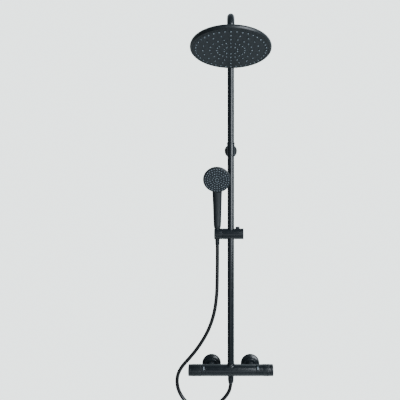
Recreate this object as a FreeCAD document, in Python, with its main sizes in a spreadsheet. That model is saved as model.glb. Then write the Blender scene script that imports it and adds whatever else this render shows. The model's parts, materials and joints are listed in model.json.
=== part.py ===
import FreeCAD, Part
import Sketcher
import math
import os

from FreeCAD import Placement, Rotation, Vector

# Wall-mounted thermostatic shower column: a bar mixer, a riser tube, a swivelling arm with an
# overhead shower, and a hand shower on a sliding holder. Millimetres. X runs right along the wall,
# Y runs into the wall, Z runs up. The origin is on the wall, midway between the two inlets.

os.makedirs("parts", exist_ok=True)
doc = FreeCAD.newDocument("shower_column")
sheet = doc.addObject("Spreadsheet::Sheet", "Dims")

DRIVING = {
    # layout
    "inlet_spacing": 150, "axis_depth": 65, "mixer_half": 159, "mixer_radius": 21.1,
    "tube_radius": 12.5, "tube_bore": 11, "fit_gap": 0.06, "free_gap": 0.3,
    # wall connections
    "thread_radius": 10.48, "thread_length": 15, "thread_relief": 0.8, "union_radius": 10.1,
    "union_bore": 7.5, "union_end": 33, "spigot_radius": 13.2, "spigot_end": 36,
    "spigot_bore": 8.5, "nut_radius": 16, "nut_near_wall": 27, "nut_near_mixer": 43.8,
    "rosette_radius": 36.5, "rosette_depth": 19,
    # mixer
    "body_half": 94, "cartridge_radius": 16, "cartridge_start": 45, "cartridge_nose": 14.5,
    "cartridge_end": 104, "spindle_start": 91, "spindle_radius": 4, "boss_radius": 14,
    "boss_top": 25, "tube_seat": 13, "outlet_radius": 11, "outlet_bottom": 33,
    "hose_nut_bottom": 48, "collar_start": 94.4, "collar_end": 108.6, "scale_end": 118.2,
    "cap_start": 148.2, "grip_bore": 17.5, "button_angle": 40, "button_width": 7,
    "button_length": 15, "button_top": 21.8, "button_x": 100.9,
    # riser, bracket and arm
    "bracket_height": 826, "bracket_radius": 23.5, "bracket_length": 53, "bracket_bore": 20.5,
    "sleeve_radius": 15, "sleeve_low": 805, "sleeve_high": 856, "plate_screws": 26,
    "screw_hole": 2.25, "grub_radius": 1.5, "grub_depth": 2.7,
    "arm_height": 1252.5, "arm_reach": 235, "rear_bend": 60, "front_bend": 50,
    "stub_end": 1192,
    # overhead shower, heights measured from the ball's centre
    "ball_height": 1172, "ball_radius": 11, "seat_radius": 13, "head_tilt": 11,
    "head_radius": 131.5, "face_drop": 45, "head_thickness": 20, "plate_radius": 122,
    # slider and holder
    "slider_height": 512.5, "slider_radius": 20.2, "slider_left": -31, "slider_right": 47.7,
    "holder_left": -62.4, "socket_x": -50.5, "socket_lean": 3, "pin_radius": 5,
    "liner_radius": 14, "liner_half": 13, "lock_x": 25.5, "lock_length": 15,
    # hand shower
    "nut_top": 20, "nut_low": 42, "nut_top_radius": 9.6, "nut_low_radius": 8,
    "hand_radius": 51, "hand_face_y": -125, "hand_face_z": 713, "hand_lean": 26,
    "hand_plate": 47.6,
    # hose
    "hose_radius": 6.75,
}

# nozzle rings: radius, number of nozzles, turn of the first one in degrees
OVERHEAD_RINGS = ((22.6, 10, 0), (45.3, 20, 0), (67.9, 20, 0), (90.5, 20, 0), (113.2, 40, 0))
HAND_RINGS = ((6.6, 6, 0), (15.8, 12, 0), (25.5, 18, 0), (34.7, 24, 0), (43.3, 28, 0))

# handle sections: height above the holder's centre, half width, half depth
HANDLE_SECTIONS = ((20.8, 11.2, 10.8), (24.5, 12.8, 11.8), (32, 13.8, 12.4), (50, 14.8, 12.8),
                   (75, 15.5, 12.9), (104, 16.3, 13), (133, 17.3, 13), (158, 18.2, 12.6),
                   (182, 19.8, 7.8))
HANDLE_CURVE = 0.000659


class Size:
    """A length with its value and the sheet expression that it comes from."""

    def __init__(self, value, text):
        self.value = value
        self.text = text

    def join(self, other, sign, value):
        return Size(value, f"({self.text} {sign} {as_size(other).text})")

    def __add__(self, other):
        return self.join(other, "+", self.value + as_size(other).value)

    def __sub__(self, other):
        return self.join(other, "-", self.value - as_size(other).value)

    def __mul__(self, other):
        return self.join(other, "*", self.value * as_size(other).value)

    def __truediv__(self, other):
        return self.join(other, "/", self.value / as_size(other).value)

    def __neg__(self):
        return Size(-self.value, f"(0 - {self.text})")

    def __radd__(self, other):
        return as_size(other) + self

    def __rsub__(self, other):
        return as_size(other) - self

    def __rmul__(self, other):
        return as_size(other) * self


def as_size(value):
    """A plain number as a Size, and a Size as it is."""
    return value if isinstance(value, Size) else Size(float(value), f"{float(value):g}")


class Sizes:
    """The driving dimensions as attributes."""


dim = Sizes()
for row, (alias, number) in enumerate(DRIVING.items(), start=1):
    sheet.set(f"A{row}", alias)
    sheet.set(f"B{row}", str(number))
    sheet.setAlias(f"B{row}", alias)
    setattr(dim, alias, Size(float(number), f"Dims.{alias}"))
doc.recompute()

UP = Rotation()
RIGHT = Rotation(Vector(0, 1, 0), 90)
LEFT = Rotation(Vector(0, 1, 0), -90)
FRONT = Rotation(Vector(1, 0, 0), 90)
DOWN = Rotation(Vector(1, 0, 0), 180)

sub_parts = []


def keep(thing):
    """Puts an object on the list of sub-parts that are exported."""
    sub_parts.append(thing)
    return thing


def place(thing, x=0, y=0, z=0, turn=UP):
    """Places an object, with its position bound to the sheet."""
    spot = [as_size(value) for value in (x, y, z)]
    thing.Placement = Placement(Vector(*[s.value for s in spot]), turn)
    for letter, s in zip("xyz", spot):
        thing.setExpression(f"Placement.Base.{letter}", s.text)
    return thing


def bind(thing, **values):
    """Sets properties of an object from sizes."""
    for name, value in values.items():
        size = as_size(value)
        setattr(thing, name, size.value)
        thing.setExpression(name, size.text)
    return thing


def origin_plane(body, role):
    """One of the body's own origin planes."""
    return next(p for p in body.Origin.OriginFeatures if p.Role == role)


def new_sketch(body, name, role):
    """A sketch on one of the body's origin planes."""
    sketch = body.newObject("Sketcher::SketchObject", name)
    sketch.AttachmentSupport = [(origin_plane(body, role), "")]
    sketch.MapMode = "FlatFace"
    return sketch


def fix_coordinate(sketch, line, kind, axis, size):
    """Ties the start of a line to the sketch's origin along X or Y."""
    if abs(size.value) < 1e-9:
        sketch.addConstraint(Sketcher.Constraint("PointOnObject", line, 1, axis))
        return
    number = sketch.addConstraint(Sketcher.Constraint(kind, -1, 1, line, 1, size.value))
    sketch.setExpression(f"Constraints[{number}]", size.text)


def polygon(sketch, points):
    """A closed outline through points, each bound to the sheet."""
    corners = [(as_size(a), as_size(b)) for a, b in points]
    spots = [Vector(a.value, b.value, 0) for a, b in corners]
    for start, end in zip(spots, spots[1:] + spots[:1]):
        sketch.addGeometry(Part.LineSegment(start, end))
    for line, (a, b) in enumerate(corners):
        follower = (line + 1) % len(corners)
        sketch.addConstraint(Sketcher.Constraint("Coincident", line, 2, follower, 1))
        fix_coordinate(sketch, line, "DistanceX", -2, a)
        fix_coordinate(sketch, line, "DistanceY", -1, b)


def turned(name, points):
    """A body turned about its own Z axis from an outline of (radius, height) points."""
    body = doc.addObject("PartDesign::Body", name)
    body.Label = name
    sketch = new_sketch(body, f"{name}_outline", "XZ_Plane")
    polygon(sketch, points)
    sketch.Visibility = False
    revolution = body.newObject("PartDesign::Revolution", f"{name}_turn")
    revolution.Profile = sketch
    revolution.ReferenceAxis = (sketch, ["V_Axis"])
    revolution.Angle = 360
    return body


def tube_outline(inner, outer, low, high):
    """The outline of a plain tube."""
    return [(inner, low), (outer, low), (outer, high), (inner, high)]


def disc_outline(outer, low, high):
    """The outline of a plain disc or rod."""
    return [(0, low), (outer, low), (outer, high), (0, high)]


def ring_of_circles(body, name, ring, radius, low, height, cut):
    """A ring of round pads or pockets: one circle and its polar pattern."""
    ring_radius, count, turn = ring
    sketch = new_sketch(body, f"{name}_circle", "XY_Plane")
    offset = Vector(0, 0, as_size(low).value)
    sketch.AttachmentOffset = Placement(offset, Rotation(Vector(0, 0, 1), 90 + turn))
    sketch.addGeometry(Part.Circle(Vector(ring_radius, 0, 0), Vector(0, 0, 1), radius))
    sketch.addConstraint(Sketcher.Constraint("Radius", 0, radius))
    sketch.addConstraint(Sketcher.Constraint("DistanceX", -1, 1, 0, 3, ring_radius))
    sketch.addConstraint(Sketcher.Constraint("PointOnObject", 0, 3, -1))
    kind = "PartDesign::Pocket" if cut else "PartDesign::Pad"
    feature = body.newObject(kind, f"{name}_first")
    feature.Profile = sketch
    feature.Refine = False
    feature.Length = height
    if cut:
        feature.Reversed = True
    pattern = body.newObject("PartDesign::PolarPattern", f"{name}_pattern")
    pattern.Originals = [feature]
    pattern.Axis = (sketch, ["N_Axis"])
    pattern.Angle = 360
    pattern.Occurrences = count
    pattern.Refine = False
    body.Tip = pattern
    sketch.Visibility = False


def rod(name, radius, length, **where):
    """A Part cylinder, placed by its lower end."""
    thing = bind(doc.addObject("Part::Cylinder", name), Radius=radius, Height=length)
    return place(thing, **where)


def block(name, size, x=0, y=0, z=0, turn=UP):
    """A Part box centred on its own axes, then turned and placed."""
    thing = bind(doc.addObject("Part::Box", name), Length=size[0], Width=size[1], Height=size[2])
    half = Vector(*[as_size(value).value / 2 for value in size])
    centre = Vector(*[as_size(value).value for value in (x, y, z)])
    thing.Placement = Placement(centre - turn.multVec(half), turn)
    return thing


def ball(name, radius, **where):
    """A Part sphere."""
    return place(bind(doc.addObject("Part::Sphere", name), Radius=radius), **where)


def fuse(name, shapes):
    """Several shapes as one."""
    thing = doc.addObject("Part::MultiFuse", name)
    thing.Shapes = shapes
    thing.Refine = True
    thing.Label = name
    return thing


def cut(name, base, *tools):
    """One shape with the others taken away."""
    tool = tools[0] if len(tools) == 1 else fuse(f"{name}_tools", list(tools))
    thing = doc.addObject("Part::Cut", name)
    thing.Base = base
    thing.Tool = tool
    thing.Label = name
    return thing


def common(name, first, second):
    """What two shapes share."""
    thing = doc.addObject("Part::Common", name)
    thing.Base = first
    thing.Tool = second
    thing.Label = name
    return thing


def quarter_bend(name, radius, bend, **where):
    """A quarter of a torus, for a tube's elbow."""
    thing = doc.addObject("Part::Torus", name)
    bind(thing, Radius1=bend, Radius2=radius)
    thing.Angle3 = 90
    return place(thing, **where)


# ---------------------------------------------------------------- wall connections


def wall_connection(side, x):
    """Union, rosette, nut, filter washer and check valve of one inlet."""
    thread, flange = dim.thread_radius, dim.spigot_radius - 0.3
    neck, end = dim.union_radius, dim.union_end
    union = turned(f"inlet_union_{side}", [
        (dim.union_bore, -dim.thread_length), (thread, -dim.thread_length),
        (thread, -dim.thread_relief), (neck, -dim.thread_relief), (neck, end - 3),
        (flange, end - 3), (flange, end), (dim.union_bore, end)])
    outer, depth = dim.rosette_radius, dim.rosette_depth
    hole = thread + dim.free_gap
    rosette = turned(f"rosette_{side}", [
        (outer - 3, 0), (outer, 0), (outer, 4), (outer - 1.2, 6.5), (outer - 4, 8.2),
        (outer - 8.5, 9.4), (outer - 10.5, 11.5), (outer - 11.3, depth - 2),
        (outer - 13.5, depth), (hole, depth), (hole, depth - 2.5), (outer - 14.5, depth - 2.5),
        (outer - 13.5, 10), (outer - 11.5, 7.5), (outer - 5, 5)])
    near, far = dim.nut_near_wall, dim.nut_near_mixer
    inside = dim.spigot_radius + 0.1
    nut = turned(f"union_nut_{side}", [
        (thread + 0.3, near), (dim.nut_radius - 1.5, near), (dim.nut_radius, near + 1.5),
        (dim.nut_radius, far - 1.2), (dim.nut_radius - 1.2, far), (inside, far),
        (inside, end - 3), (thread + 0.3, end - 3)])
    washer = turned(f"filter_washer_{side}",
                    tube_outline(6, flange, end + 0.1, dim.spigot_end - 0.1))
    valve = turned(f"check_valve_{side}",
                   tube_outline(3, dim.spigot_bore - 0.1, dim.spigot_end + 0.5, 48.5))
    for piece in (union, rosette, nut, washer, valve):
        keep(place(piece, x=x, turn=FRONT))


# ---------------------------------------------------------------- mixer


def mixer_body():
    """The bar with its inlet spigots, riser boss and hose outlet."""
    depth = dim.axis_depth
    bar = rod("mixer_bar", dim.mixer_radius, 2 * dim.body_half, x=-dim.body_half, y=-depth,
              turn=RIGHT)
    half = dim.inlet_spacing / 2
    long = depth - dim.spigot_end
    spigots = [rod(f"spigot_{n}", dim.spigot_radius, long, x=x, y=-dim.spigot_end, turn=FRONT)
               for n, x in enumerate((-half, half))]
    boss = rod("riser_boss", dim.boss_radius, dim.boss_top, y=-depth)
    outlet = rod("outlet_boss", dim.outlet_radius, dim.outlet_bottom, y=-depth,
                 z=-dim.outlet_bottom)
    outside = fuse("mixer_outside", [bar, boss, outlet] + spigots)
    start = dim.cartridge_start
    room = dim.body_half - start + 5
    tools = [
        rod("left_room", dim.cartridge_radius, room, x=-start, y=-depth, turn=LEFT),
        rod("right_room", dim.cartridge_radius, room, x=start, y=-depth, turn=RIGHT),
        rod("passage", 8, 2 * start, x=-start, y=-depth, turn=RIGHT),
        rod("riser_seat", dim.tube_radius + 0.03, 30, y=-depth, z=dim.tube_seat),
        rod("riser_water", 8, dim.tube_seat, y=-depth),
        rod("outlet_water", 7, dim.outlet_bottom + 5, y=-depth, z=-dim.outlet_bottom - 5),
    ]
    tools += [rod(f"spigot_water_{n}", dim.spigot_bore, long, x=x, y=-dim.spigot_end + 1,
                  turn=FRONT) for n, x in enumerate((-half, half))]
    keep(cut("mixer_body", outside, *tools))


def cartridges():
    """The two cartridges inside the bar."""
    radius, nose = dim.cartridge_radius - 0.1, dim.cartridge_nose
    bore = dim.spindle_radius + 0.05
    start, end, floor = dim.cartridge_start + 0.5, dim.cartridge_end, dim.spindle_start - 1
    outline = [(0, start), (radius, start), (radius, dim.body_half), (nose, dim.body_half),
               (nose, end), (bore, end), (bore, floor), (0, floor)]
    keep(place(turned("thermostatic_cartridge", outline), y=-dim.axis_depth, turn=RIGHT))
    keep(place(turned("diverter_cartridge", outline), y=-dim.axis_depth, turn=LEFT))


def stop_button(name, x):
    """A curved push button let into a knob collar, and the room it needs in the collar."""
    angle = dim.button_angle.value
    turn = Rotation(Vector(1, 0, 0), 90 - angle)
    out = turn.multVec(Vector(0, 0, 1))
    middle = 19.5
    spot = {"x": x, "y": -dim.axis_depth.value + out.y * middle, "z": out.z * middle}
    width, length = dim.button_width, dim.button_length
    stock = block(f"{name}_block", (width, length, 12), turn=turn, **spot)
    skin = place(turned(f"{name}_skin", tube_outline(18, dim.button_top, -10, 10)), x=x,
                 y=-dim.axis_depth, turn=RIGHT)
    keep(common(name, stock, skin))
    gap = dim.free_gap * 2
    return block(f"{name}_room", (width + gap, length + gap, 14), turn=turn, **spot)


def knob(prefix, sign, turn, rings, button):
    """One control: collar with its button, grip, end cap and spindle."""
    radius, bore, depth = dim.mixer_radius, dim.grip_bore, dim.axis_depth
    first, gap = dim.collar_start, dim.free_gap
    collar_end = rings[0]
    collar = place(turned(f"{prefix}_collar_ring", [
        (bore, first), (radius - 0.6, first), (radius, first + 0.6), (radius, collar_end - 0.6),
        (radius - 0.6, collar_end), (bore, collar_end)]), y=-depth, turn=turn)
    keep(cut(f"{prefix}_collar", collar, stop_button(button, sign * dim.button_x)))
    grip_start = collar_end + gap
    if len(rings) > 1:
        scale = turned(f"{prefix}_scale_ring",
                       tube_outline(bore, radius - 0.25, collar_end + gap, rings[1]))
        keep(place(scale, y=-depth, turn=turn))
        grip_start = rings[1] + gap
    cap = dim.cap_start
    hub, hole = 8, dim.spindle_radius + 0.02
    grip = turned(f"{prefix}_knob", [
        (bore, grip_start), (radius - 0.7, grip_start), (radius, grip_start + 0.7),
        (radius, cap - 0.7), (radius - 0.7, cap), (hole, cap), (hole, 128), (hub, 128),
        (hub, cap - 4), (bore, cap - 4)])
    end = dim.mixer_half
    end_cap = turned(f"{prefix}_knob_cap", [
        (0, cap + gap), (radius - 0.5, cap + gap), (radius, cap + 0.8), (radius, end - 3.5),
        (radius - 0.7, end - 1.6), (radius - 2, end - 0.5), (radius - 4, end), (0, end)])
    spindle = turned(f"{prefix}_spindle",
                     disc_outline(dim.spindle_radius, dim.spindle_start, cap))
    for piece in (grip, end_cap, spindle):
        keep(place(piece, y=-depth, turn=turn))


def hose_outlet():
    """The cone nut under the mixer, with its washer."""
    top, low = dim.outlet_bottom, dim.hose_nut_bottom
    nut = turned("hose_nut_lower", [
        (7.2, top + 2.2), (10.9, top + 0.1), (10.9, top + 4), (9, low), (4, low), (4, top + 2.2)])
    washer = turned("hose_washer_lower", tube_outline(4, 7, top - 2.4, top - 0.1))
    keep(place(nut, y=-dim.axis_depth, turn=DOWN))
    keep(place(washer, y=-dim.axis_depth, turn=DOWN))


# ---------------------------------------------------------------- riser, bracket and arm


def riser():
    """The lower tube, its coupling sleeve and the spigot inside both tubes."""
    join = dim.bracket_height
    lower = turned("lower_riser", tube_outline(dim.tube_bore, dim.tube_radius,
                                               dim.tube_seat + 0.1, join - 0.2))
    low, high, outer = dim.sleeve_low, dim.sleeve_high, dim.sleeve_radius
    bore = dim.tube_radius + dim.fit_gap
    sleeve = turned("coupling_sleeve", [
        (bore, low), (outer - 0.8, low), (outer, low + 0.8), (outer, low + 4),
        (outer - 0.5, low + 4.6), (outer - 0.5, high - 4.6), (outer, high - 4),
        (outer, high - 0.8), (outer - 0.8, high), (bore, high)])
    spigot = turned("riser_spigot", tube_outline(9, dim.tube_bore - dim.fit_gap,
                                                 join - 15, join + 15))
    for piece in (lower, sleeve, spigot):
        keep(place(piece, y=-dim.axis_depth))


def bracket():
    """The wall plate, the barrel that covers it, and the grub screw that locks them."""
    height, outer, bore = dim.bracket_height, dim.bracket_radius, dim.bracket_bore
    length = dim.bracket_length
    barrel = place(turned("bracket_barrel_turned", [
        (bore, 0), (outer, 0), (outer, length - 0.8), (outer - 0.8, length), (0, length),
        (0, 25), (bore, 25)]), z=height, turn=FRONT)
    saddle = rod("bracket_saddle", dim.sleeve_radius + 0.05, 80, y=-dim.axis_depth,
                 z=height - 40)
    lock, lock_depth = dim.grub_radius, dim.grub_depth
    hole = rod("grub_hole", lock, 6, y=-lock_depth, z=height - outer - 1)
    keep(cut("bracket_barrel", barrel, saddle, hole))
    grub = turned("bracket_grub_screw", disc_outline(lock, 0, 3))
    keep(place(grub, y=-lock_depth, z=height - outer + 0.2))
    plate = turned("bracket_plate_turned", disc_outline(bore - 0.2, 0, 5))
    holes = [rod(f"plate_hole_{n}", dim.screw_hole, 10, y=2, z=height + way * dim.plate_screws / 2,
                 turn=FRONT) for n, way in enumerate((-1, 1))]
    keep(cut("bracket_wall_plate", place(plate, z=height, turn=FRONT), *holes))


def arm_solid(name, radius, extra):
    """The outline of the upper riser, its two bends and the drop to the ball, as one solid."""
    depth, height, reach = dim.axis_depth, dim.arm_height, dim.arm_reach
    rear, front = dim.rear_bend, dim.front_bend
    bottom, stub = dim.bracket_height + 0.2, dim.stub_end
    end = -depth - reach
    upright = rod(f"{name}_upright", radius, height - rear - bottom + extra, y=-depth,
                  z=bottom - extra)
    level = rod(f"{name}_level", radius, reach - rear - front, y=-depth - rear, z=height,
                turn=FRONT)
    drop = rod(f"{name}_drop", radius, height - front - stub + extra, y=end, z=stub - extra)
    rear_turn = Rotation(Vector(0, 1, 0), Vector(0, 0, 1), Vector(1, 0, 0), "ZXY")
    front_turn = Rotation(Vector(0, -1, 0), Vector(0, 0, 1), Vector(-1, 0, 0), "ZXY")
    behind = quarter_bend(f"{name}_behind", radius, rear, y=-depth - rear, z=height - rear,
                          turn=rear_turn)
    ahead = quarter_bend(f"{name}_ahead", radius, front, y=end + front, z=height - front,
                         turn=front_turn)
    return fuse(name, [upright, behind, level, ahead, drop])


def arm():
    """The swivelling upper riser and arm, and the ball stud in its end."""
    keep(cut("upper_riser_arm", arm_solid("arm_outside", dim.tube_radius, 0),
             arm_solid("arm_inside", dim.tube_bore, 1)))
    spot = {"y": -dim.axis_depth - dim.arm_reach, "z": dim.ball_height}
    stub = dim.stub_end - dim.ball_height
    sphere = ball("stud_ball", dim.ball_radius, **spot)
    stem = place(turned("stud_stem", [
        (0, 0), (6, 0), (6, stub - 2.2), (dim.tube_radius, stub - 2.2), (dim.tube_radius, stub),
        (dim.tube_bore - 0.05, stub), (dim.tube_bore - 0.05, stub + 9), (0, stub + 9)]), **spot)
    bore = rod("stud_bore", 4, 60, y=spot["y"], z=dim.ball_height - 20)
    keep(cut("arm_ball_stud", fuse("stud_solid", [sphere, stem]), bore))


# ---------------------------------------------------------------- overhead shower


def overhead_spot():
    """The ball's centre and the overhead shower's tilt."""
    tilt = Rotation(Vector(1, 0, 0), -dim.head_tilt.value)
    return {"y": -dim.axis_depth - dim.arm_reach, "z": dim.ball_height, "turn": tilt}


def ball_joint():
    """Seat, hub and nut around the ball."""
    spot = overhead_spot()
    gap, seat = 0.1, dim.seat_radius
    shell = cut("seat_shell", ball("seat_outside", seat, **spot),
                ball("seat_inside", dim.ball_radius + gap, **spot))
    band = place(turned("seat_band", tube_outline(5, seat, -10, -6)), **spot)
    keep(common("ball_seat", shell, band))
    flange = dim.head_thickness - dim.face_drop
    hub = place(turned("hub_turned", [
        (5, flange), (24, flange), (24, flange + 3), (21.5, flange + 5.5), (21.5, -14.3),
        (15, -14.3), (15, -2), (5, -2)]), **spot)
    keep(cut("head_hub", hub, ball("hub_cup", seat + gap, **spot)))
    nut = place(turned("ball_nut_turned", [
        (15.1, -14), (20, -14), (20, 2), (18.5, 5), (15.5, 8.5), (10.6, 8.5), (8.9, 6.2),
        (8.9, -1.5), (15.1, -1.5)]), **spot)
    keep(cut("head_ball_nut", nut, ball("nut_cup", dim.ball_radius + gap, **spot)))


def overhead_shower():
    """Shell, water disc, nozzle mat and face plate."""
    spot = overhead_spot()
    outer, face = dim.head_radius, -dim.face_drop
    top = face + dim.head_thickness
    plate = dim.plate_radius
    shell = turned("head_shell", [
        (5, top), (outer - 13, top), (outer - 7.5, top - 0.8), (outer - 3.2, top - 3.2),
        (outer - 0.8, top - 7), (outer, top - 11), (outer - 0.5, face + 5),
        (outer - 2.2, face + 2.2), (outer - 5, face + 0.5), (outer - 7, face),
        (plate + 0.2, face), (plate + 0.2, face + 4.5), (plate - 2, face + 5.5),
        (plate - 2, top - 2.5), (5, top - 2.5)])
    disc = turned("head_water_disc", tube_outline(3, plate - 3, face + 9, face + 10.5))
    mat = turned("head_nozzles", disc_outline(plate - 1, face + 3.2, face + 4.6))
    panel = turned("head_face_plate", disc_outline(plate, face, face + 3))
    for number, ring in enumerate(OVERHEAD_RINGS):
        name = f"overhead_nub_{number}"
        ring_of_circles(mat, name, ring, 2.2, face - 2, 5.4, cut=False)
        name = f"overhead_hole_{number}"
        ring_of_circles(panel, name, ring, 2.5, face - 1, 5, cut=True)
    for piece in (shell, disc, mat, panel):
        keep(place(piece, **spot))


# ---------------------------------------------------------------- slider and holder


def slider():
    """The slider on the riser, its liner, brake shoe, spring and pivot pin."""
    depth, height, outer = dim.axis_depth, dim.slider_height, dim.slider_radius
    left, right = dim.slider_left, dim.slider_right
    stock = place(turned("slider_turned", [
        (0, left), (outer - 0.5, left), (outer, left + 0.5), (outer, right - 2),
        (outer - 0.7, right - 0.7), (outer - 2, right), (0, right)]), y=-depth, z=height,
        turn=RIGHT)
    here = {"y": -dim.axis_depth.value, "z": dim.slider_height.value}
    room = dim.lock_length + 0.6
    tools = [
        rod("liner_room", dim.liner_radius, 60, y=-depth, z=height - 30),
        block("button_room", (room, 12.6, 22), x=dim.lock_x, y=here["y"], z=here["z"] + 14),
        block("shoe_room", (10, 10, 16), x=16, **here),
        rod("pin_room", dim.pin_radius, 20, x=left - 1, y=-depth, z=height, turn=RIGHT),
    ]
    keep(cut("slider_body", stock, *tools))
    liner = place(turned("liner_turned", tube_outline(
        dim.tube_radius + 0.08, dim.liner_radius - 0.02, -dim.liner_half, dim.liner_half)),
        y=-depth, z=height)
    window = block("liner_window", (10, 10, 16), x=16, **here)
    keep(cut("slider_liner", liner, window))
    keep(block("brake_shoe", (4.5, 9.4, 15.4), x=15.2, **here)).Label = "brake_shoe"
    coils = []
    for number in range(5):
        coil = bind(doc.addObject("Part::Torus", f"coil_{number}"), Radius1=3.6, Radius2=0.6)
        coils.append(place(coil, x=dim.lock_x, y=-depth, z=height + 3.65 + number * 1.05))
    keep(fuse("lock_spring", coils))
    pin = turned("holder_pivot_pin", disc_outline(dim.pin_radius, left - 7.5, left + 16.8))
    keep(place(pin, y=-depth, z=height, turn=RIGHT))


def lock_button():
    """The sprung button on top of the slider."""
    spot = {"x": dim.lock_x, "y": -dim.axis_depth.value}
    length = dim.lock_length
    stem = block("lock_stem", (length, 12, 18.5), z=dim.slider_height.value + 17.75, **spot)
    rounded = doc.addObject("Part::Fillet", "lock_button")
    rounded.Base = stem
    doc.recompute()
    top_edges = [n for n, edge in enumerate(stem.Shape.Edges, start=1)
                 if edge.BoundBox.ZMin > stem.Shape.BoundBox.ZMax - 0.01]
    rounded.Edges = [(n, 2.0, 2.0) for n in top_edges]
    rounded.Label = "lock_button"
    keep(rounded)


def lean(angle):
    """A turn about X that leans an upright piece towards the front."""
    return Rotation(Vector(1, 0, 0), angle)


def socket_spot():
    """The holder's centre on the socket's axis, leaning with it."""
    return {"x": dim.socket_x, "y": -dim.axis_depth, "z": dim.slider_height,
            "turn": lean(dim.socket_lean.value)}


def holder():
    """The tilting holder with its tapered socket."""
    outer, left, right = dim.slider_radius, dim.holder_left, dim.slider_left - 0.4
    stock = place(turned("holder_turned", [
        (0, left), (outer - 1.5, left), (outer - 0.5, left + 0.5), (outer, left + 1.5),
        (outer, right - 0.5), (outer - 0.5, right), (0, right)]), y=-dim.axis_depth,
        z=dim.slider_height, turn=RIGHT)
    slope = (dim.nut_top_radius - dim.nut_low_radius) / (dim.nut_top + dim.nut_low)
    gap = dim.free_gap
    socket = place(turned("socket_taper", [
        (0, -30), (dim.nut_top_radius - slope * (dim.nut_top + 30) + gap, -30),
        (dim.nut_top_radius + gap, dim.nut_top), (dim.nut_top_radius + gap, 30), (0, 30)]),
        **socket_spot())
    pin_room = rod("holder_pin_room", dim.pin_radius + 0.05, 9, x=dim.slider_left - 8,
                   y=-dim.axis_depth, z=dim.slider_height, turn=RIGHT)
    keep(cut("holder_socket", stock, socket, pin_room))


# ---------------------------------------------------------------- hand shower


def handle_point(rise):
    """A point of the handle's middle line, above the holder's centre: it leans and curves forward."""
    straight = math.tan(math.radians(dim.socket_lean.value))
    return Vector(dim.socket_x.value,
                  -dim.axis_depth.value - straight * rise - HANDLE_CURVE * rise * rise,
                  dim.slider_height.value + rise)


def handle_solid(name, sections, thinner):
    """A loft through ellipses across the handle's middle line."""
    straight = math.tan(math.radians(dim.socket_lean.value))
    rings = []
    for number, (rise, wide, deep) in enumerate(sections):
        ring = doc.addObject("Part::Ellipse", f"{name}_ring_{number}")
        bind(ring, MajorRadius=wide - thinner, MinorRadius=deep - thinner)
        angle = math.degrees(math.atan(straight + 2 * HANDLE_CURVE * rise))
        ring.Placement = Placement(handle_point(rise), lean(angle))
        rings.append(ring)
    thing = doc.addObject("Part::Loft", name)
    thing.Sections = rings
    thing.Solid = True
    thing.Ruled = False
    return thing


def hand_spot():
    """The centre of the hand shower's face, its Z axis pointing out of the face."""
    return {"x": dim.socket_x, "y": dim.hand_face_y, "z": dim.hand_face_z,
            "turn": lean(90 + dim.hand_lean.value)}


def hand_shower():
    """Shell with its handle, water disc, nozzle mat and face plate."""
    spot = hand_spot()
    outer, plate = dim.hand_radius, dim.hand_plate
    head = place(turned("hand_head", [
        (0, -26), (20, -25.6), (33, -23.5), (42, -19.5), (outer - 3, -14.5), (outer - 0.8, -10),
        (outer, -6), (outer - 0.6, -2.5), (outer - 2.2, -0.5), (outer - 3, 0), (0, 0)]), **spot)
    outside = fuse("hand_outside", [head, handle_solid("handle_outside", HANDLE_SECTIONS, 0)])
    inner = ((18, 10.4, 10.2),) + HANDLE_SECTIONS[1:]
    face_room = place(turned("hand_face_room", disc_outline(plate + 0.2, -9, 5)), **spot)
    back_room = place(turned("hand_back_room", [
        (0, -22.5), (20, -22), (32, -20), (40, -16), (43, -9), (0, -9)]), **spot)
    thread = place(turned("hand_thread", [
        (4.5, 7), (7.2, 7), (7.2, dim.nut_top + 1.5), (10, dim.nut_top + 1.5),
        (10, dim.nut_top + 4), (4.5, dim.nut_top + 4)]), **socket_spot())
    hollow = cut("hand_hollow", outside, handle_solid("handle_inside", inner, 3), face_room,
                 back_room)
    keep(fuse("handset_shell", [hollow, thread]))
    disc = turned("handset_water_disc", tube_outline(2, plate - 3, -8.6, -7.4))
    mat = turned("handset_nozzles", disc_outline(plate - 0.4, -4.6, -3.2))
    panel = turned("handset_face_plate", disc_outline(plate, -3, 0))
    for number, ring in enumerate(HAND_RINGS):
        ring_of_circles(mat, f"hand_nub_{number}", ring, 1.4, -3.9, 5.2, cut=False)
        ring_of_circles(panel, f"hand_hole_{number}", ring, 1.65, -4, 5, cut=True)
    for piece in (disc, mat, panel):
        keep(place(piece, **spot))


def hose_cone_nut():
    """The tapered swivel nut that sits in the holder, with its washer."""
    low, top = -dim.nut_low, dim.nut_top
    nut = turned("hose_cone_nut", [
        (4, low), (dim.nut_low_radius, low), (dim.nut_top_radius, top - 0.3),
        (dim.nut_top_radius - 0.3, top), (7.3, top), (7.3, 3), (4, 3)])
    washer = turned("hose_washer_upper", tube_outline(4.2, 7, 3.2, 5.5))
    for piece in (nut, washer):
        keep(place(piece, **socket_spot()))


# ---------------------------------------------------------------- hose


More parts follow.
